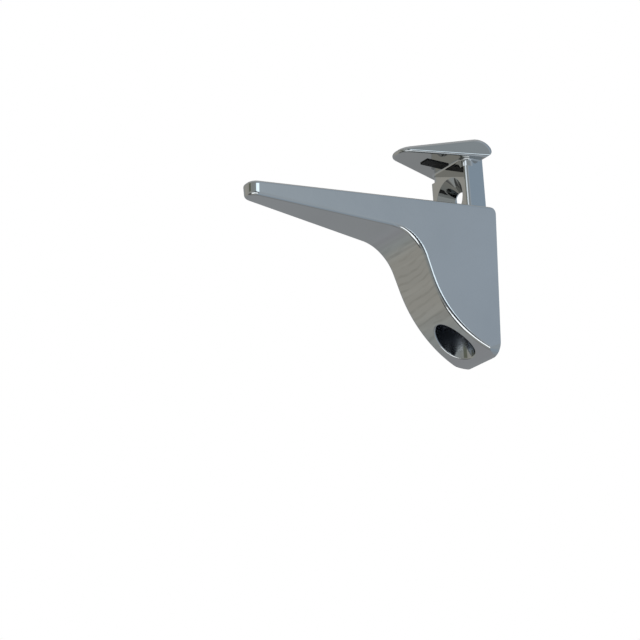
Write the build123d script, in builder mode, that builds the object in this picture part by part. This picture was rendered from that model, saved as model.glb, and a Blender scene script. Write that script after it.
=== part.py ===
from build123d import *
import os

# Shelf support clamp: a body with a tapering arm under the shelf, and an upper
# jaw with a short beak over it. The jaw's post is screwed to the wall and runs
# down into the body; a screw reached from below draws the body up the post.
#
# Frame: Y = 0 is the wall and -Y points out into the room, X = 0 is the plane
# of symmetry, Z = 0 is the root of the beak's gripping face. Millimetres.

# Shelf gap at rest, from the arm's top face to the beak's root
GAP = 13.6
ARM_TOP = -GAP

# Body, side view; its back stands a little off the wall so that it can slide
BODY_STANDOFF = 0.55
ARM_LENGTH = 67.1
TIP_HEIGHT = 3.55
ELBOW_REACH = 29.35
ELBOW_HEIGHT = 7.7
ELBOW_RADIUS = 10.8
ELBOW_TURN = 65.3
DROP_LENGTH = 4.95
WALL_HEIGHT = 38.25
BACK_CORNER_RADIUS = 2.0
BODY_OVERRUN = 1.5

# Body, plan and front view: both flanks are flat and lean inwards
ROOT_HALF_WIDTH = 11.05
PLAN_TAPER = 0.125
FRONT_TAPER = 0.0728
TIP_CORNER_RADIUS = 2.4
FOOT_CORNER_RADIUS = 3.6
ARM_TOP_EDGE_RADIUS = 0.8
ARM_UNDER_EDGE_RADIUS = 0.9

# Upper jaw, beak
BEAK_LENGTH = 22.25
BEAK_ROOT_HALF_WIDTH = 11.0
BEAK_PLAN_TAPER = 0.3587
BEAK_TIP_RADIUS = 3.5
BEAK_TIP_THICKNESS = 1.3
BEAK_ROOT_HEIGHT = 5.7
BEAK_BACK_RADIUS = 4.3
BEAK_HEEL_RADIUS = 2.0
BEAK_OVERRUN = 0.8
BEAK_RISE = 0.044
BEAK_TOP_EDGE_RADIUS = 1.1
BEAK_UNDER_EDGE_RADIUS = 0.6

# Upper jaw, post and neck
POST_HALF_WIDTH = 7.75
POST_FRONT = 6.5
POST_LENGTH = 24.8
POST_EDGE_RADIUS = 1.0
NECK_HALF_WIDTH = 7.6
NECK_HEIGHT = 2.0
NECK_FILLET = 0.5
NECK_EDGE_RADIUS = 2.6
REBATE_DEPTH = 1.5
REBATE_HALF_WIDTH = 6.4
POCKET_HALF_WIDTH = 5.6
POCKET_DEPTH = 2.85
POCKET_TOP = 2.7

# Wall screw hole in the post
WALL_HOLE_DROP = 8.6
WALL_HOLE_RADIUS = 2.25
COUNTERSINK_RADIUS = 5.6
COUNTERSINK_ANGLE = 90
HOLE_MOUTH_RADIUS = 0.3

# Nut lug on the post's foot and the clamp screw that runs in it
LUG_HALF_WIDTH = 4.6
LUG_FRONT = 12.4
LUG_HEIGHT = 5.0
LUG_EDGE_RADIUS = 0.6
SCREW_REACH = 8.25
THREAD_RADIUS = 2.0
THREAD_CLEARANCE = 0.08
SCREW_LENGTH = 20.0
HEAD_RADIUS = 3.5
HEAD_HEIGHT = 4.0
SOCKET_ACROSS_FLATS = 3.0
SOCKET_DEPTH = 2.2
HEAD_EDGE_RADIUS = 0.4
SCREW_END_CHAMFER = 0.5
RELIEF_RADIUS = 2.3
RELIEF_OVERLAP = 0.7

# Channel, web and screw well in the body
CLEARANCE = 0.15
CHANNEL_DEPTH = 19.5
LUG_BAY_REACH = 9.6
LUG_BAY_RADIUS = 5.6
WEB_THICKNESS = 3.0
WELL_RADIUS = 4.7
WEB_HOLE_RADIUS = 2.3
WELL_EDGE_RADIUS = 0.4

# Rubber strips let into both gripping faces
PAD_WIDTH = 3.1
PAD_INSET = 0.8
PAD_PROUD = 0.3
UPPER_PAD_FRONT = 13.7
UPPER_PAD_BACK = 7.05
LOWER_PAD_FRONT = 60.0
LOWER_PAD_BACK = 16.5

# Worked-out places
POST_BOTTOM = -POST_LENGTH
CHANNEL_FLOOR = ARM_TOP - CHANNEL_DEPTH
WEB_UNDERSIDE = CHANNEL_FLOOR - WEB_THICKNESS
SCREW_AXIS_Y = -SCREW_REACH
FOOT = ARM_TOP - WALL_HEIGHT
BODY_BACK = -BODY_STANDOFF
ARM_TIP = BODY_BACK - ARM_LENGTH
WIDE = 2 * ROOT_HALF_WIDTH
BEYOND = 2 * ARM_LENGTH

# Selecting: how near counts as on a line, and how far a face must lean to look up or down
NEAR = 0.01
LEAN = 0.2

# The beak's gripping face rises slightly towards its tip
BEAK_FACE = Plane(origin=(0, 0, 0), x_dir=(1, 0, 0), z_dir=(0, BEAK_RISE, 1))
ARM_FACE = Plane.XY.offset(ARM_TOP)


def flank_plane(hand):
    """Flat flank of the body on one hand, its normal pointing outwards."""
    return Plane(
        origin=(hand * ROOT_HALF_WIDTH, BODY_BACK, ARM_TOP),
        z_dir=(hand, -PLAN_TAPER, -FRONT_TAPER),
    )


def on_centre(edge_or_face):
    """True where the middle of an edge or a face lies on the plane of symmetry."""
    return abs(edge_or_face.center().X) < NEAR


# Rubber strips, partly sunk into the gripping faces
with BuildPart() as upper_pad:
    with BuildSketch(BEAK_FACE.offset(-PAD_PROUD)):
        with Locations((0, -(UPPER_PAD_FRONT + UPPER_PAD_BACK) / 2)):
            Rectangle(PAD_WIDTH, UPPER_PAD_FRONT - UPPER_PAD_BACK)
    extrude(amount=PAD_PROUD + PAD_INSET)
upper_pad.part.label = "upper_pad"

with BuildPart() as lower_pad:
    with BuildSketch(ARM_FACE.offset(-PAD_INSET)):
        with Locations((0, -(LOWER_PAD_FRONT + LOWER_PAD_BACK) / 2)):
            Rectangle(PAD_WIDTH, LOWER_PAD_FRONT - LOWER_PAD_BACK)
    extrude(amount=PAD_PROUD + PAD_INSET)
lower_pad.part.label = "lower_pad"

# Body: side view, flat flanks, rounded nose and edges
with BuildPart() as body:
    with BuildSketch(Plane.YZ):
        with BuildLine():
            arm_top = Line((BODY_BACK + BODY_OVERRUN, ARM_TOP), (ARM_TIP, ARM_TOP))
            nose = Line(arm_top @ 1, (ARM_TIP, ARM_TOP - TIP_HEIGHT))
            underside = Line(nose @ 1, (BODY_BACK - ELBOW_REACH, ARM_TOP - ELBOW_HEIGHT))
            elbow = JernArc(underside @ 1, underside % 1, ELBOW_RADIUS, -ELBOW_TURN)
            drop = Line(elbow @ 1, elbow @ 1 + (elbow % 1) * DROP_LENGTH)
            foot_curve = TangentArc(drop @ 1, (BODY_BACK, FOOT), tangent=drop % 1)
            foot_run = Line(foot_curve @ 1, foot_curve @ 1 + (foot_curve % 1) * BODY_OVERRUN)
            Polyline(foot_run @ 1, (BODY_BACK + BODY_OVERRUN, FOOT), arm_top @ 0)
        make_face()
    extrude(amount=WIDE, both=True)
    for hand in (1, -1):
        split(bisect_by=flank_plane(hand), keep=Keep.BOTTOM)

    nose_face = body.faces().sort_by(Axis.Y)[0]
    nose_sides = nose_face.edges().sort_by(Axis.X)
    fillet([nose_sides[0], nose_sides[-1]], TIP_CORNER_RADIUS)

    top_face = body.faces().filter_by(Axis.Z).sort_by(Axis.Z)[-1]
    top_edges = top_face.edges().filter_by(lambda edge: edge.center().Y < BODY_BACK)
    fillet(top_edges, ARM_TOP_EDGE_RADIUS)

    under_faces = body.faces().filter_by(
        lambda face: on_centre(face) and face.normal_at().Z < -LEAN
    )
    fillet(under_faces.edges().filter_by(lambda edge: not on_centre(edge)), ARM_UNDER_EDGE_RADIUS)

    # Rounded bottom corners, as the foot is seen from the front
    with BuildSketch(Plane.XZ):
        foot_half_width = ROOT_HALF_WIDTH - FRONT_TAPER * WALL_HEIGHT
        with BuildLine():
            Polyline(
                (-ROOT_HALF_WIDTH, ARM_TOP),
                (-foot_half_width, FOOT),
                (foot_half_width, FOOT),
                (ROOT_HALF_WIDTH, ARM_TOP),
                close=True,
            )
        front_view = make_face()
        fillet(front_view.vertices().group_by(Axis.Y)[0], FOOT_CORNER_RADIUS)
    extrude(amount=BEYOND, both=True, mode=Mode.INTERSECT)

    # The back is cut square, and its top corner is rounded
    with BuildSketch(Plane.YZ):
        with Locations((BODY_BACK, ARM_TOP)):
            Rectangle(BEYOND, BEYOND, align=(Align.MAX, Align.MAX))
        top_back = vertices().group_by(Axis.X)[-1].sort_by(Axis.Y)[-1]
        fillet(top_back, BACK_CORNER_RADIUS)
    extrude(amount=WIDE, both=True, mode=Mode.INTERSECT)

    # Channel for the post, cored from the top, with lips left along the wall
    channel_half_width = POST_HALF_WIDTH + CLEARANCE
    channel_front = POST_FRONT + CLEARANCE
    lip_front = REBATE_DEPTH - CLEARANCE
    with BuildSketch(Plane.XY.offset(CHANNEL_FLOOR)):
        with Locations((0, -(channel_front + lip_front) / 2)):
            Rectangle(2 * channel_half_width, channel_front - lip_front)
        with Locations((0, -channel_front / 2)):
            Rectangle(2 * (REBATE_HALF_WIDTH + CLEARANCE), channel_front)
        with Locations((0, -LUG_BAY_REACH)):
            Circle(LUG_BAY_RADIUS)
    extrude(amount=CHANNEL_DEPTH, mode=Mode.SUBTRACT)

    # Screw well from below and its hole through the web
    with BuildSketch(Plane.XY.offset(FOOT)):
        with Locations((0, SCREW_AXIS_Y)):
            Circle(WELL_RADIUS)
    extrude(amount=WEB_UNDERSIDE - FOOT, mode=Mode.SUBTRACT)
    well_mouth = body.edges(Select.LAST).filter_by(
        lambda edge: edge.center().Z < WEB_UNDERSIDE - HEAD_HEIGHT
    )
    fillet(well_mouth, WELL_EDGE_RADIUS)
    with BuildSketch(Plane.XY.offset(WEB_UNDERSIDE)):
        with Locations((0, SCREW_AXIS_Y)):
            Circle(WEB_HOLE_RADIUS)
    extrude(amount=WEB_THICKNESS, mode=Mode.SUBTRACT)

    # Groove for the rubber strip
    add(lower_pad.part, mode=Mode.SUBTRACT)
body.part.label = "body"

# Upper jaw: beak, neck and post in one casting
with BuildPart() as upper_jaw:
    # Beak in plan, run past the wall so that its rounded back is cut off there
    overrun_half_width = BEAK_ROOT_HALF_WIDTH + BEAK_PLAN_TAPER * BEAK_OVERRUN
    tip_half_width = BEAK_ROOT_HALF_WIDTH - BEAK_PLAN_TAPER * BEAK_LENGTH
    with BuildSketch(Plane.XY.offset(-BEAK_ROOT_HEIGHT)):
        with BuildLine():
            Polyline(
                (-overrun_half_width, BEAK_OVERRUN),
                (-tip_half_width, -BEAK_LENGTH),
                (tip_half_width, -BEAK_LENGTH),
                (overrun_half_width, BEAK_OVERRUN),
                close=True,
            )
        beak_plan = make_face()
        fillet(beak_plan.vertices().group_by(Axis.Y)[0], BEAK_TIP_RADIUS)
    extrude(amount=3 * BEAK_ROOT_HEIGHT)
    # Beak in side view
    with BuildSketch(Plane.YZ):
        tip_underside = BEAK_RISE * BEAK_LENGTH
        with BuildLine():
            Polyline(
                (BEAK_OVERRUN, -BEAK_RISE * BEAK_OVERRUN),
                (-BEAK_LENGTH, tip_underside),
                (-BEAK_LENGTH, tip_underside + BEAK_TIP_THICKNESS),
                (BEAK_OVERRUN, BEAK_ROOT_HEIGHT),
                close=True,
            )
        beak_side = make_face()
        fillet(beak_side.vertices().sort_by(Axis.Y)[-1], BEAK_BACK_RADIUS)
    extrude(amount=2 * BEAK_ROOT_HALF_WIDTH, both=True, mode=Mode.INTERSECT)
    beak_top = upper_jaw.faces().filter_by(lambda face: face.normal_at().Z > LEAN)
    beak_rim = beak_top.edges().filter_by(
        lambda edge: not on_centre(edge) or edge.center().Y < -BEAK_TIP_RADIUS
    )
    fillet(beak_rim, BEAK_TOP_EDGE_RADIUS)
    fillet(upper_jaw.faces().sort_by(Axis.Z)[0].edges(), BEAK_UNDER_EDGE_RADIUS)
    split(bisect_by=Plane.XZ, keep=Keep.TOP)

    # Post, then the neck on it with rounder corners
    with BuildSketch(Plane.XY.offset(POST_BOTTOM)):
        with Locations((0, -POST_FRONT / 2)):
            Rectangle(2 * POST_HALF_WIDTH, POST_FRONT)
        fillet(vertices().group_by(Axis.Y)[0], POST_EDGE_RADIUS)
    extrude(amount=POST_LENGTH - NECK_HEIGHT)
    with BuildSketch(Plane.XY.offset(-NECK_HEIGHT)):
        with Locations((0, -POST_FRONT / 2)):
            Rectangle(2 * NECK_HALF_WIDTH, POST_FRONT)
        fillet(vertices().group_by(Axis.Y)[0], NECK_EDGE_RADIUS)
    extrude(amount=3 * NECK_HEIGHT / 2)
    highest_root = BEAK_RISE * POST_FRONT + NEAR
    neck_root = (
        upper_jaw.edges()
        .filter_by(lambda edge: 0 < edge.center().Z < highest_root)
        .filter_by(lambda edge: abs(edge.center().X) < NECK_HALF_WIDTH + NEAR)
        .filter_by(lambda edge: -POST_FRONT - NEAR < edge.center().Y < -NEAR)
    )
    fillet(neck_root, NECK_FILLET)

    # The beak's underside is rounded off at the wall, on both sides of the rebates' inner walls
    for hand in (1, -1):
        with BuildSketch(Plane.YZ.offset(hand * REBATE_HALF_WIDTH)):
            Rectangle(BEAK_HEEL_RADIUS, BEAK_HEEL_RADIUS, align=(Align.MAX, Align.MIN))
            with Locations((-BEAK_HEEL_RADIUS, BEAK_HEEL_RADIUS)):
                Circle(BEAK_HEEL_RADIUS, mode=Mode.SUBTRACT)
        extrude(amount=hand * WIDE, mode=Mode.SUBTRACT)

    # Rebates for the body's lips, and the pocket cored from the wall side
    rebate_width = 2 * (POST_HALF_WIDTH - REBATE_HALF_WIDTH)
    with BuildSketch(Plane.XY.offset(POST_BOTTOM)):
        with Locations((-POST_HALF_WIDTH, 0), (POST_HALF_WIDTH, 0)):
            Rectangle(rebate_width, 2 * REBATE_DEPTH)
    extrude(amount=POST_LENGTH + BEAK_RISE * REBATE_DEPTH, mode=Mode.SUBTRACT)
    lug_top = POST_BOTTOM + LUG_HEIGHT
    with BuildSketch(Plane.XY.offset(lug_top)):
        Rectangle(2 * POCKET_HALF_WIDTH, 2 * POCKET_DEPTH)
    extrude(amount=-POCKET_TOP - lug_top, mode=Mode.SUBTRACT)

    # Countersunk hole for the wall screw
    with Locations(Plane(origin=(0, -POST_FRONT, -WALL_HOLE_DROP), z_dir=(0, -1, 0))):
        CounterSinkHole(
            WALL_HOLE_RADIUS,
            COUNTERSINK_RADIUS,
            depth=POST_FRONT,
            counter_sink_angle=COUNTERSINK_ANGLE,
        )
    hole_mouth = (
        upper_jaw.edges()
        .filter_by(GeomType.CIRCLE)
        .filter_by(lambda edge: abs(edge.radius - COUNTERSINK_RADIUS) < NEAR)
    )
    fillet(hole_mouth, HOLE_MOUTH_RADIUS)

    # Nut lug, its threaded hole, and the screw's relief in the post's front
    with BuildSketch(Plane.XY.offset(POST_BOTTOM)):
        with Locations((0, -(LUG_FRONT + POST_FRONT) / 2)):
            Rectangle(2 * LUG_HALF_WIDTH, LUG_FRONT - POST_FRONT)
    extrude(amount=LUG_HEIGHT)
    lug_corners = (
        upper_jaw.edges()
        .filter_by(Axis.Z)
        .filter_by(lambda edge: edge.center().Z < lug_top)
        .group_by(Axis.Y)[0]
    )
    fillet(lug_corners, LUG_EDGE_RADIUS)
    with BuildSketch(Plane.XY.offset(POST_BOTTOM)):
        with Locations((0, SCREW_AXIS_Y)):
            Circle(THREAD_RADIUS + THREAD_CLEARANCE)
    extrude(amount=LUG_HEIGHT, mode=Mode.SUBTRACT)
    relief_top = -WALL_HOLE_DROP - COUNTERSINK_RADIUS + RELIEF_OVERLAP
    with BuildSketch(Plane.XY.offset(lug_top)):
        with Locations((0, SCREW_AXIS_Y)):
            Circle(RELIEF_RADIUS)
    extrude(amount=relief_top - lug_top, mode=Mode.SUBTRACT)

    # Groove for the rubber strip
    add(upper_pad.part, mode=Mode.SUBTRACT)
upper_jaw.part.label = "upper_jaw"

# Clamp screw: its head bears up against the web, its shank runs in the lug
with BuildPart() as clamp_screw:
    with BuildSketch(Plane.XY.offset(WEB_UNDERSIDE - HEAD_HEIGHT)):
        with Locations((0, SCREW_AXIS_Y)):
            Circle(HEAD_RADIUS)
    extrude(amount=HEAD_HEIGHT)
    fillet(clamp_screw.faces().sort_by(Axis.Z)[0].edges(), HEAD_EDGE_RADIUS)
    with BuildSketch(Plane.XY.offset(WEB_UNDERSIDE)):
        with Locations((0, SCREW_AXIS_Y)):
            Circle(THREAD_RADIUS)
    extrude(amount=SCREW_LENGTH)
    chamfer(clamp_screw.faces().sort_by(Axis.Z)[-1].edges(), SCREW_END_CHAMFER)
    with BuildSketch(Plane.XY.offset(WEB_UNDERSIDE - HEAD_HEIGHT)):
        with Locations((0, SCREW_AXIS_Y)):
            RegularPolygon(SOCKET_ACROSS_FLATS / 2, 6, major_radius=False)
    extrude(amount=SOCKET_DEPTH, mode=Mode.SUBTRACT)
clamp_screw.part.label = "clamp_screw"

os.makedirs("parts", exist_ok=True)
for piece in (body, upper_jaw, upper_pad, lower_pad, clamp_screw):
    export_step(piece.part, f"parts/{piece.part.label}.step")
    print(piece.part.label, piece.part.is_valid, round(piece.part.volume, 1))
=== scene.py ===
import math

import bpy
import numpy as np
from mathutils import Matrix, Vector


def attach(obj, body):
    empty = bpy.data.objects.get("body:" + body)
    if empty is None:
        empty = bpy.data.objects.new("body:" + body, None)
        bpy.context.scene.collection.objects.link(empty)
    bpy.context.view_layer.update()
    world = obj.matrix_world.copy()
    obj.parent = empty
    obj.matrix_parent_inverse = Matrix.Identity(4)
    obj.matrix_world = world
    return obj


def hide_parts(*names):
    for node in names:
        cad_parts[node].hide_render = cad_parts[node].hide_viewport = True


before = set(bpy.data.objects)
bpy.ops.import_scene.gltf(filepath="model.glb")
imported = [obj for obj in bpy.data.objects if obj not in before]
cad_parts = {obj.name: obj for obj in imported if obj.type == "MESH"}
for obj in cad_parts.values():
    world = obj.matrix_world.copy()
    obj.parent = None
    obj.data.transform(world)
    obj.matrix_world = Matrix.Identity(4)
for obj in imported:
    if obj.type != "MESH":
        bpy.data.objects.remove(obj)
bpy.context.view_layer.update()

MM = 0.001

# Camera: a long lens below the arm's height, looking up at the clamp from its right-hand side
CAMERA_PLACE = Vector((0.52488, -0.39950, -0.25350))
CAMERA_AZIMUTH = 56.23
CAMERA_RISE = 18.16
CAMERA_ROLL = -3.65
LENS_MM = 154.15
SENSOR_MM = 36.0

# Studio: a pale floor, and a grey tent round the object, seen only in the metal
FLOOR_LEVEL = -0.30
FLOOR_HALF = 1.5
FLOOR_PALE = 0.76
FLOOR_LIFT = 0.45
SOFT_LIGHT = 0.7
TENT_RADIUS = 1.6
TENT_ROWS = 33
TENT_COLUMNS = 65
TENT_FRONT = 127.0
# Cloth: share of the way round, starting opposite the camera, then its shade there
TENT_CLOTH = [
    (0.000, (0.30, 0.305, 0.31)),
    (0.110, (0.38, 0.42, 0.46)),
    (0.294, (0.342, 0.432, 0.533)),
    (0.336, (0.43, 0.50, 0.585)),
    (0.356, (0.48, 0.545, 0.61)),
    (0.375, (0.44, 0.48, 0.53)),
    (0.400, (0.36, 0.40, 0.43)),
    (0.560, (0.33, 0.35, 0.35)),
    (0.794, (0.455, 0.440, 0.402)),
    (0.845, (0.38, 0.40, 0.396)),
    (0.919, (0.355, 0.361, 0.382)),
    (0.975, (0.36, 0.375, 0.395)),
    (1.000, (0.30, 0.305, 0.31)),
]
# Bright windows and dark flags: left, right, low, high and softness in degrees, then the shade
TENT_PANES = [
    (-200, 200, 55, 120, 20, (0.52, 0.535, 0.55)),
    (-90, -58, -62, -8, 10, (0.42, 0.475, 0.53)),
    (-40, 4, -38, -6, 5, (0.06, 0.065, 0.08)),
    (-47, -34, -5, 15.5, 3, (1.5, 1.75, 1.95)),
    (-36, -18, -7, 9, 4, (1.3, 1.48, 1.62)),
    (-36, -15, 8, 15.5, 3, (1.5, 1.75, 1.95)),
    (-37, 56, -62, -39, 7, (1.9, 1.98, 2.05)),
    (62, 112, -58, -30, 8, (0.12, 0.12, 0.12)),
    (118, 175, -64, -45, 8, (0.26, 0.265, 0.275)),
    (4, 22, 18.8, 22.5, 2, (1.3, 1.42, 1.55)),
    (29, 40, 18.8, 22.5, 2, (1.3, 1.42, 1.55)),
    (46, 70, 4, 32, 8, (0.17, 0.18, 0.14)),
]

# Clamp screw, in millimetres
SCREW_AXIS_Y = -8.25
HEAD_UNDERSIDE = -40.1
HEAD_HEIGHT = 4.0
HEAD_RADIUS = 3.5
HEAD_EDGE = 0.4
SOCKET_DEPTH = 2.2
SOCKET_HALF_FLATS = 1.5
SOCKET_BEVEL = 0.12
KNURLS = 36
KNURL_DEPTH = 0.18
KNURL_ROWS = 9
HEAD_TOP_BEVEL = (0.3, 0.35)
SCREW_LENGTH = 20.0
THREAD_CREST = 2.0
THREAD_DEPTH = 0.4
PITCH = 0.7
END_CHAMFER = 0.5
SHANK_ROWS = 173
SCREW_COLUMNS = 180

# Ripples in the plate down the body's steep front, below a depth in millimetres; they are bumped, and
# their crests are painted darker as painted shade
RIPPLE_SLANT = 3.0
RIPPLE_SCALE = 190.0
RIPPLE_FACING = 0.62
RIPPLE_DEPTH = 22.0

# Dull plate in the screw well: radius about the screw's axis, and its lower and upper end, in millimetres
DULL_RADIUS = 4.8
DULL_LOW = -47.5
DULL_HIGH = -35.0


def place_camera():
    """Puts the camera at its place, turned about Z, tipped up, then rolled about its own axis."""
    camera = bpy.data.objects.new("camera", bpy.data.cameras.new("camera"))
    bpy.context.scene.collection.objects.link(camera)
    turn = Matrix.Rotation(math.radians(CAMERA_AZIMUTH), 4, "Z")
    tip = Matrix.Rotation(math.radians(90 + CAMERA_RISE), 4, "X")
    roll = Matrix.Rotation(math.radians(CAMERA_ROLL), 4, "Z")
    camera.matrix_world = Matrix.Translation(CAMERA_PLACE) @ turn @ tip @ roll
    camera.data.lens = LENS_MM
    camera.data.sensor_width = SENSOR_MM
    camera.data.clip_start = 0.01
    bpy.context.scene.camera = camera


def grid_mesh(name, points):
    """A mesh over a grid of points, rows by columns by xyz, with one quad between four neighbours."""
    rows, columns = points.shape[:2]
    index = np.arange(rows * columns).reshape(rows, columns)
    quads = np.stack([index[:-1, :-1], index[:-1, 1:], index[1:, 1:], index[1:, :-1]], axis=-1)
    mesh = bpy.data.meshes.new(name)
    mesh.from_pydata(points.reshape(-1, 3).tolist(), [], quads.reshape(-1, 4).tolist())
    mesh.update()
    piece = bpy.data.objects.new(name, mesh)
    bpy.context.scene.collection.objects.link(piece)
    return piece


def new_material(name):
    """A new material with its node tree and its Principled shader."""
    material = bpy.data.materials.new(name)
    material.use_nodes = True
    tree = material.node_tree
    return material, tree, tree.nodes["Principled BSDF"]


def add_node(tree, kind, **settings):
    """A node of that kind in the tree, with its settings and socket values."""
    node = tree.nodes.new(kind)
    for key, value in settings.items():
        if key in node.inputs:
            node.inputs[key].default_value = value
        else:
            setattr(node, key, value)
    return node


def noise(tree, place, scale, detail=2.0, roughness=0.5):
    """A noise texture on the given coordinates; returns its 0 to 1 output."""
    texture = add_node(tree, "ShaderNodeTexNoise", Scale=scale, Detail=detail, Roughness=roughness)
    tree.links.new(place, texture.inputs["Vector"])
    return texture.outputs["Fac"]


def ramp(tree, value, stops):
    """A colour ramp through (position, colour) stops; returns its colour."""
    node = tree.nodes.new("ShaderNodeValToRGB")
    elements = node.color_ramp.elements
    while len(elements) < len(stops):
        elements.new(0.5)
    for element, (position, colour) in zip(elements, stops):
        element.position = position
        element.color = (*colour, 1)
    tree.links.new(value, node.inputs["Fac"])
    return node.outputs["Color"]


def spread(tree, value, low, high, to_low, to_high):
    """Maps a value from one range to another, clamped; returns the result."""
    node = tree.nodes.new("ShaderNodeMapRange")
    for key, number in (("From Min", low), ("From Max", high), ("To Min", to_low), ("To Max", to_high)):
        node.inputs[key].default_value = number
    tree.links.new(value, node.inputs["Value"])
    return node.outputs["Result"]


def soft_step(tree, value, edge, width, falling=False):
    """A smooth rise from 0 to 1 as the value passes the edge, over the width, or a fall from 1 to 0."""
    node = add_node(tree, "ShaderNodeMapRange", interpolation_type="SMOOTHSTEP")
    ends = (1.0, 0.0) if falling else (0.0, 1.0)
    numbers = (edge - width / 2, edge + width / 2, *ends)
    for key, number in zip(("From Min", "From Max", "To Min", "To Max"), numbers):
        node.inputs[key].default_value = number
    tree.links.new(value, node.inputs["Value"])
    return node.outputs["Result"]


def maths(tree, operation, one, other=None):
    """The result of a mathematical operation on a value and a second one, which may be a number."""
    node = add_node(tree, "ShaderNodeMath", operation=operation)
    tree.links.new(one, node.inputs[0])
    if isinstance(other, (int, float)):
        node.inputs[1].default_value = other
    elif other:
        tree.links.new(other, node.inputs[1])
    return node.outputs["Value"]


def multiply(tree, *values):
    """The product of several values."""
    product = values[0]
    for value in values[1:]:
        product = maths(tree, "MULTIPLY", product, value)
    return product


def blend(tree, factor, colour, shade):
    """A colour that turns into the fixed shade as the factor goes from 0 to 1."""
    node = add_node(tree, "ShaderNodeMix", data_type="RGBA")
    tree.links.new(factor, node.inputs[0])
    tree.links.new(colour, node.inputs[6])
    node.inputs[7].default_value = (*shade, 1)
    return node.outputs[2]


def split_xyz(tree, vector):
    """The three outputs of a vector's parts."""
    node = tree.nodes.new("ShaderNodeSeparateXYZ")
    tree.links.new(vector, node.inputs["Vector"])
    return node.outputs


def bump(tree, shader, layers):
    """Stacks bump layers, each (height, depth in metres), onto the shader's normal."""
    normal = None
    for height, depth in layers:
        node = add_node(tree, "ShaderNodeBump", Strength=1.0, Distance=depth)
        tree.links.new(height, node.inputs["Height"])
        if normal:
            tree.links.new(normal, node.inputs["Normal"])
        normal = node.outputs["Normal"]
    tree.links.new(normal, shader.inputs["Normal"])


def bright_chrome():
    """Plated casting: mirror bright, faintly wavy, rippled down the steep front, dull inside the well.

    The ripples are slanting waves on the faces that look to the front, where the body drops. Their crests
    are bumped and also painted darker, as painted shade.
    """
    material, tree, shader = new_material("bright_chrome")
    place = tree.nodes.new("ShaderNodeTexCoord").outputs["Object"]
    shader.inputs["Metallic"].default_value = 1.0
    facing = split_xyz(tree, tree.nodes.new("ShaderNodeNewGeometry").outputs["True Normal"])
    depth = maths(tree, "MULTIPLY", split_xyz(tree, place)["Z"], -1.0)

    # Ripples: 1 at a thin crest, 0 between, only on the steep front; the mask bumps the plate and also
    # paints its colour darker, as painted shade
    slant = add_node(tree, "ShaderNodeMapping", Rotation=(0.0, math.radians(RIPPLE_SLANT), 0.0))
    tree.links.new(place, slant.inputs["Vector"])
    wave = add_node(
        tree,
        "ShaderNodeTexWave",
        bands_direction="Z",
        Scale=RIPPLE_SCALE,
        Distortion=5.0,
        Detail=1.5,
    )
    wave.inputs["Detail Scale"].default_value = 0.6
    tree.links.new(slant.outputs["Vector"], wave.inputs["Vector"])
    crest = spread(tree, wave.outputs["Fac"], 0.0, 0.45, 1.0, 0.0)
    to_front = soft_step(tree, maths(tree, "MULTIPLY", facing["Y"], -1.0), RIPPLE_FACING, 0.2)
    dropped = soft_step(tree, depth, RIPPLE_DEPTH * MM, 5 * MM)
    broken = spread(tree, noise(tree, place, 240.0, detail=1.0), 0.38, 0.62, 0.25, 1.0)
    ripple_and_painted_shade = multiply(tree, crest, broken, to_front, dropped)

    # Deep in the screw well the plate is thin and dull
    from_axis = (0.0, -SCREW_AXIS_Y * MM, 0.0)
    across = add_node(tree, "ShaderNodeMapping", Location=from_axis, Scale=(1.0, 1.0, 0.0))
    tree.links.new(place, across.inputs["Vector"])
    reach = add_node(tree, "ShaderNodeVectorMath", operation="LENGTH")
    tree.links.new(across.outputs["Vector"], reach.inputs[0])
    near_axis = soft_step(tree, reach.outputs["Value"], DULL_RADIUS * MM, 0.1 * MM, falling=True)
    deep = soft_step(tree, depth, -DULL_LOW * MM, 4 * MM, falling=True)
    below = soft_step(tree, depth, -DULL_HIGH * MM, 1 * MM)
    in_well = multiply(tree, near_axis, deep, below)

    tone = noise(tree, place, 90.0, detail=3.0)
    colour = ramp(tree, tone, [(0.3, (0.54, 0.55, 0.545)), (0.7, (0.56, 0.57, 0.565))])
    # Painted shade: the crests of the ripples are coloured darker than the rest of the plate
    colour = blend(tree, ripple_and_painted_shade, colour, (0.48, 0.49, 0.48))
    colour = blend(tree, in_well, colour, (0.50, 0.54, 0.60))
    tree.links.new(colour, shader.inputs["Base Color"])

    haze = spread(tree, noise(tree, place, 350.0, detail=4.0), 0.3, 0.75, 0.03, 0.07)
    dull = multiply(tree, in_well, spread(tree, tone, 0.3, 0.7, 0.22, 0.30))
    tree.links.new(maths(tree, "ADD", haze, dull), shader.inputs["Roughness"])
    waves = noise(tree, place, 260.0, detail=1.0)
    bump(tree, shader, [(waves, 0.012 * MM), (ripple_and_painted_shade, 0.006 * MM)])
    return material


def black_rubber():
    """Moulded rubber strip: nearly black, matt, with a fine grain and a little grey wear."""
    material, tree, shader = new_material("black_rubber")
    place = tree.nodes.new("ShaderNodeTexCoord").outputs["Object"]
    wear = noise(tree, place, 700.0, detail=4.0)
    colour = ramp(tree, wear, [(0.35, (0.006, 0.006, 0.006)), (0.75, (0.022, 0.022, 0.022))])
    tree.links.new(colour, shader.inputs["Base Color"])
    tree.links.new(spread(tree, wear, 0.3, 0.7, 0.5, 0.75), shader.inputs["Roughness"])
    bump(tree, shader, [(noise(tree, place, 4000.0, detail=2.0), 0.02 * MM)])
    return material


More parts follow.
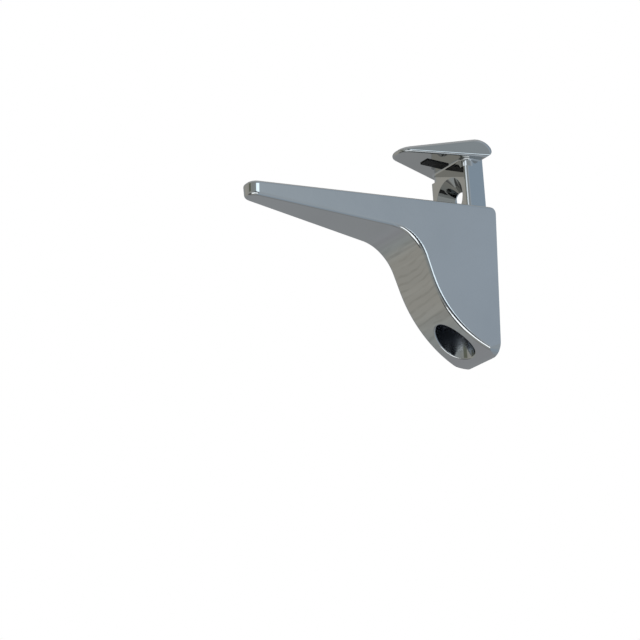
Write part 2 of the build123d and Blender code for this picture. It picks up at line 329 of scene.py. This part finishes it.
def blacked_steel():
    """Black-oxide screw steel: dark, satin, slightly mottled."""
    material, tree, shader = new_material("blacked_steel")
    place = tree.nodes.new("ShaderNodeTexCoord").outputs["Object"]
    shader.inputs["Metallic"].default_value = 1.0
    mottle = noise(tree, place, 900.0, detail=4.0)
    colour = ramp(tree, mottle, [(0.3, (0.07, 0.07, 0.075)), (0.7, (0.13, 0.13, 0.14))])
    tree.links.new(colour, shader.inputs["Base Color"])
    tree.links.new(spread(tree, mottle, 0.3, 0.7, 0.28, 0.45), shader.inputs["Roughness"])
    bump(tree, shader, [(mottle, 0.01 * MM)])
    return material


def sky_patch(azimuths, elevations, radius, rows, columns):
    """Points of a patch of a sphere round the origin.

    A point at azimuth a, counted from +Y towards +X, and elevation e is
    radius * (sin a cos e, cos a cos e, sin e).
    """
    a = np.radians(np.linspace(*azimuths, columns))[None, :]
    e = np.radians(np.linspace(*elevations, rows))[:, None]
    flat = np.ones((rows, columns))
    return radius * np.stack([np.sin(a) * np.cos(e), np.cos(a) * np.cos(e), np.sin(e) * flat], axis=-1)


def pane(tree, around, height, left, right, low, high, soft):
    """1 inside a soft-edged rectangle of the tent, given in degrees round and up, and 0 outside."""
    return multiply(
        tree,
        soft_step(tree, around, left, soft),
        soft_step(tree, around, right, soft, falling=True),
        soft_step(tree, height, low, soft),
        soft_step(tree, height, high, soft, falling=True),
    )


def tent():
    """The studio as the metal mirrors it: grey cloth, with soft windows and dark flags near the camera.

    A direction is counted in degrees round from the camera, positive towards the arm's tip, and up.
    """
    material, tree, shader = new_material("tent_cloth")
    tree.nodes.remove(shader)
    emission = tree.nodes.new("ShaderNodeEmission")
    tree.links.new(emission.outputs["Emission"], tree.nodes["Material Output"].inputs["Surface"])
    place = tree.nodes.new("ShaderNodeTexCoord").outputs["Object"]
    direction = add_node(tree, "ShaderNodeVectorMath", operation="NORMALIZE")
    tree.links.new(place, direction.inputs[0])
    turned = add_node(
        tree, "ShaderNodeVectorRotate", rotation_type="Z_AXIS", Angle=math.radians(TENT_FRONT)
    )
    tree.links.new(direction.outputs["Vector"], turned.inputs["Vector"])
    x, y, z = split_xyz(tree, turned.outputs["Vector"])
    around = maths(tree, "DEGREES", maths(tree, "ARCTAN2", x, y))
    height = maths(tree, "DEGREES", maths(tree, "ARCSINE", z))
    colour = ramp(tree, spread(tree, around, -180, 180, 0.0, 1.0), TENT_CLOTH)
    for *edges, shade in TENT_PANES:
        colour = blend(tree, pane(tree, around, height, *edges), colour, shade)
    tree.links.new(colour, emission.inputs["Color"])
    folds = noise(tree, direction.outputs["Vector"], 9.0, detail=2.0)
    tree.links.new(spread(tree, folds, 0.3, 0.7, 0.95, 1.05), emission.inputs["Strength"])
    piece = grid_mesh("tent", sky_patch((-180, 180), (-90, 90), TENT_RADIUS, TENT_ROWS, TENT_COLUMNS))
    piece.data.materials.append(material)
    piece.visible_camera = False
    piece.visible_shadow = False


def floor():
    """A plain pale floor, which keeps the object's shadow and shows pale to the camera."""
    material, tree, shader = new_material("pale_floor")
    shader.inputs["Base Color"].default_value = (FLOOR_PALE, FLOOR_PALE, FLOOR_PALE, 1)
    shader.inputs["Roughness"].default_value = 0.9
    path = tree.nodes.new("ShaderNodeLightPath")
    white = add_node(tree, "ShaderNodeEmission", Color=(1, 1, 1, 1), Strength=FLOOR_LIFT)
    seen = add_node(tree, "ShaderNodeMixShader")
    both = tree.nodes.new("ShaderNodeAddShader")
    output = tree.nodes["Material Output"]
    tree.links.new(shader.outputs["BSDF"], both.inputs[0])
    tree.links.new(white.outputs["Emission"], both.inputs[1])
    tree.links.new(path.outputs["Is Camera Ray"], seen.inputs["Fac"])
    tree.links.new(shader.outputs["BSDF"], seen.inputs[1])
    tree.links.new(both.outputs["Shader"], seen.inputs[2])
    tree.links.new(seen.outputs["Shader"], output.inputs["Surface"])
    across = np.linspace(-FLOOR_HALF, FLOOR_HALF, 3)
    x, y = np.meshgrid(across, across)
    piece = grid_mesh("floor", np.stack([x, y, np.full_like(x, FLOOR_LEVEL)], axis=-1))
    piece.data.materials.append(material)
    piece.visible_glossy = False


def white_world():
    """White where the camera, or metal or glass, looks past the studio; soft grey light elsewhere."""
    world = bpy.data.worlds.new("white")
    world.use_nodes = True
    tree = world.node_tree
    background = tree.nodes["Background"]
    path = tree.nodes.new("ShaderNodeLightPath")
    direct = maths(tree, "MAXIMUM", path.outputs["Is Camera Ray"], path.outputs["Is Glossy Ray"])
    white_ray = maths(tree, "MAXIMUM", direct, path.outputs["Is Transmission Ray"])
    tree.links.new(spread(tree, white_ray, 0, 1, SOFT_LIGHT, 1.0), background.inputs["Strength"])
    background.inputs["Color"].default_value = (1, 1, 1, 1)
    bpy.context.scene.world = world


def turned_mesh(name, heights, radii, axis_y):
    """A closed surface of turning whose radius also depends on the angle.

    Row i, column j lies at (r cos t, axis_y + r sin t, z) with r = radii[i, j], z = heights[i] and
    t = 2 pi j / columns. The first and last rows close to a point each.
    """
    rows, columns = radii.shape
    t = np.linspace(0, 2 * math.pi, columns, endpoint=False)[None, :]
    points = np.stack(
        [radii * np.cos(t), axis_y + radii * np.sin(t), np.repeat(heights[:, None], columns, axis=1)],
        axis=-1,
    ).reshape(-1, 3)
    ends = np.array([[0, axis_y, heights[0]], [0, axis_y, heights[-1]]])
    index = np.arange(rows * columns).reshape(rows, columns)
    following = np.roll(index, -1, axis=1)
    quads = np.stack([index[:-1], following[:-1], following[1:], index[1:]], axis=-1).reshape(-1, 4)
    first, last = rows * columns, rows * columns + 1
    near = np.stack([np.full(columns, first), following[0], index[0]], axis=-1)
    far = np.stack([np.full(columns, last), index[-1], following[-1]], axis=-1)
    mesh = bpy.data.meshes.new(name)
    mesh.from_pydata(
        np.vstack([points, ends]).tolist(), [], quads.tolist() + near.tolist() + far.tolist()
    )
    mesh.update()
    piece = bpy.data.objects.new(name, mesh)
    bpy.context.scene.collection.objects.link(piece)
    return piece


def threaded_screw(material):
    """Clamp screw with its hexagon socket, knurled head and M4 thread.

    The shank's radius falls from the crest to the root and back once each pitch, and that pattern
    climbs by one pitch for each turn: crest - depth * clip(1.25 (1 - |2u - 1|) - 0.125, 0, 1), where u
    is the share of a pitch climbed. The head's side swells and sinks once for each knurl.
    """
    angle = np.linspace(0, 2 * math.pi, SCREW_COLUMNS, endpoint=False)
    plain = np.ones(SCREW_COLUMNS)
    hexagon = SOCKET_HALF_FLATS / np.cos(np.mod(angle, math.pi / 3) - math.pi / 6)
    knurled = HEAD_RADIUS - KNURL_DEPTH * (0.5 - 0.5 * np.cos(KNURLS * angle))
    under, over = HEAD_UNDERSIDE, HEAD_UNDERSIDE + HEAD_HEIGHT
    bend = np.linspace(0, math.pi / 2, 6)
    rows = [
        (under + SOCKET_DEPTH, hexagon),
        (under + SOCKET_BEVEL, hexagon),
        (under, hexagon + SOCKET_BEVEL),
    ]
    rows += [
        (under + HEAD_EDGE * (1 - math.cos(b)), (HEAD_RADIUS - HEAD_EDGE * (1 - math.sin(b))) * plain)
        for b in bend
    ]
    bevel_height, bevel_width = HEAD_TOP_BEVEL
    knurl_ends = (under + HEAD_EDGE + 0.1, over - 1.5 * bevel_height)
    rows += [(z, knurled) for z in np.linspace(*knurl_ends, KNURL_ROWS)]
    rows += [
        (over - bevel_height, (HEAD_RADIUS - KNURL_DEPTH) * plain),
        (over, (HEAD_RADIUS - bevel_width) * plain),
        (over, THREAD_CREST * plain),
    ]
    top = over + SCREW_LENGTH
    climb = np.linspace(over, top, SHANK_ROWS)[1:]
    turn = np.mod(climb[:, None] / PITCH - angle[None, :] / (2 * math.pi), 1.0)
    flank = np.clip(1.25 * (1 - np.abs(2 * turn - 1)) - 0.125, 0, 1)
    cut = THREAD_DEPTH * flank * np.clip((climb[:, None] - over) / PITCH, 0, 1)
    end = THREAD_CREST - np.clip(climb[:, None] - (top - END_CHAMFER), 0, END_CHAMFER)
    shank = np.minimum(THREAD_CREST - cut, end)
    heights = np.concatenate([[z for z, _ in rows], climb]) * MM
    radii = np.vstack([np.array([r for _, r in rows]), shank]) * MM
    piece = turned_mesh("clamp_screw_threaded", heights, radii, SCREW_AXIS_Y * MM)
    piece.data.materials.append(material)
    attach(piece, "screw")
    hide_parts("clamp_screw")


def finish_node(name, material):
    """Gives a CAD node its finish."""
    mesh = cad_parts[name].data
    mesh.materials.clear()
    mesh.materials.append(material)


place_camera()
white_world()
floor()
tent()

chrome = bright_chrome()
rubber = black_rubber()
finish_node("body", chrome)
finish_node("upper_jaw", chrome)
finish_node("upper_pad", rubber)
finish_node("lower_pad", rubber)
threaded_screw(blacked_steel())

bpy.context.scene.view_settings.view_transform = "Standard"
